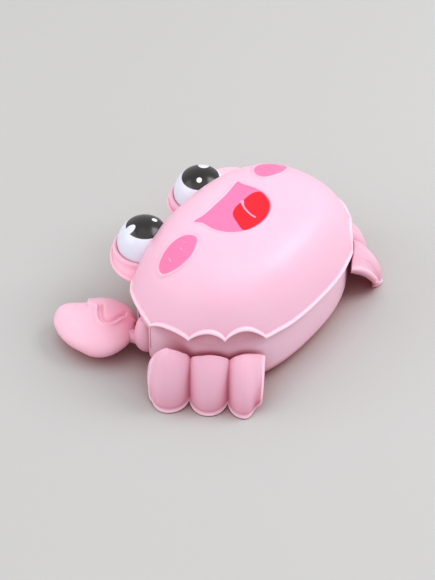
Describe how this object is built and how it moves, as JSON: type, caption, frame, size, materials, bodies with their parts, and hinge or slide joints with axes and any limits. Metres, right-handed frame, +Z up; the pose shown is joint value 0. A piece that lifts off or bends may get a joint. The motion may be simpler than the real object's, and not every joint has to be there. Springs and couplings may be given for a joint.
{
  "type": "wind-up crab toy",
  "caption": "Wind-up crab: domed shell on a rounded tub, ball eyes, printed smile, swinging claws and crank-driven leg plates.",
  "frame": {"origin": "centre of the belly pad's flat underside, on the floor", "axes": "+X towards the crab's own left, -Y towards its face, +Z up"},
  "size_m": [0.2218, 0.1573, 0.0933],
  "materials": {
    "shell_pink": "satin gloss",
    "limb_pink": "satin",
    "eye_white": "gloss",
    "case_plastic": "moulded",
    "gear_plastic": "moulded",
    "seal_rubber": "matt",
    "spring_steel": "bright",
    "steel": "bright"
  },
  "bodies": {
    "shell": {"upper_shell": "shell_pink", "lower_shell": "shell_pink", "eye_left": "eye_white", "eye_right": "eye_white", "gear_case": "case_plastic", "gear_cover": "case_plastic", "mainspring": "spring_steel", "case_screws": "steel", "shell_screws": "steel", "seal_left": "seal_rubber", "seal_right": "seal_rubber"},
    "drive": {"cross_shaft": "steel", "output_pinion": "gear_plastic", "crank_left": "gear_plastic", "crank_right": "gear_plastic"},
    "compound": {"compound_gear": "gear_plastic", "compound_axle": "steel"},
    "great": {"great_gear": "gear_plastic", "spring_arbor": "steel"},
    "idler_l": {"idler_left": "gear_plastic", "idler_clip_left": "steel"},
    "idler_r": {"idler_right": "gear_plastic", "idler_clip_right": "steel"},
    "leg_l": {"leg_left": "limb_pink"},
    "leg_r": {"leg_right": "limb_pink"},
    "arm_l": {"arm_left": "limb_pink", "arm_clip_left": "steel", "claw_left": "limb_pink"},
    "arm_r": {"arm_right": "limb_pink", "arm_clip_right": "steel", "claw_right": "limb_pink"}
  },
  "joints": [
    {"name": "crank_spin", "type": "hinge", "parent": "shell", "child": "drive", "pos_m": [0, 0.034, 0.022], "axis": [1, 0, 0], "continuous": true},
    {"name": "compound_spin", "type": "hinge", "parent": "shell", "child": "compound", "pos_m": [0, 0.0172, 0.022], "axis": [1, 0, 0], "continuous": true},
    {"name": "great_spin", "type": "hinge", "parent": "shell", "child": "great", "pos_m": [0, -0.002, 0.022], "axis": [1, 0, 0], "continuous": true},
    {"name": "idler_left_spin", "type": "hinge", "parent": "shell", "child": "idler_l", "pos_m": [0.076, 0.012, 0.022], "axis": [1, 0, 0], "continuous": true},
    {"name": "idler_right_spin", "type": "hinge", "parent": "shell", "child": "idler_r", "pos_m": [-0.076, 0.012, 0.022], "axis": [1, 0, 0], "continuous": true},
    {"name": "leg_left_turn", "type": "hinge", "parent": "drive", "child": "leg_l", "pos_m": [0.078, 0.031, 0.022], "axis": [1, 0, 0], "continuous": true},
    {"name": "leg_right_turn", "type": "hinge", "parent": "drive", "child": "leg_r", "pos_m": [-0.078, 0.031, 0.022], "axis": [1, 0, 0], "continuous": true},
    {"name": "arm_left_swing", "type": "hinge", "parent": "shell", "child": "arm_l", "pos_m": [0.0745, -0.025, 0.03], "axis": [0, 0, 1], "range_deg": [0, 35]},
    {"name": "arm_right_swing", "type": "hinge", "parent": "shell", "child": "arm_r", "pos_m": [-0.0745, -0.025, 0.03], "axis": [0, 0, -1], "range_deg": [0, 35]}
  ],
  "couplings": [
    {"joint": "compound_spin", "follows": "crank_spin", "ratio": -0.4},
    {"joint": "great_spin", "follows": "crank_spin", "ratio": 0.13333},
    {"joint": "idler_left_spin", "follows": "crank_spin", "ratio": 1},
    {"joint": "idler_right_spin", "follows": "crank_spin", "ratio": 1},
    {"joint": "leg_left_turn", "follows": "crank_spin", "ratio": -1},
    {"joint": "leg_right_turn", "follows": "crank_spin", "ratio": -1}
  ]
}
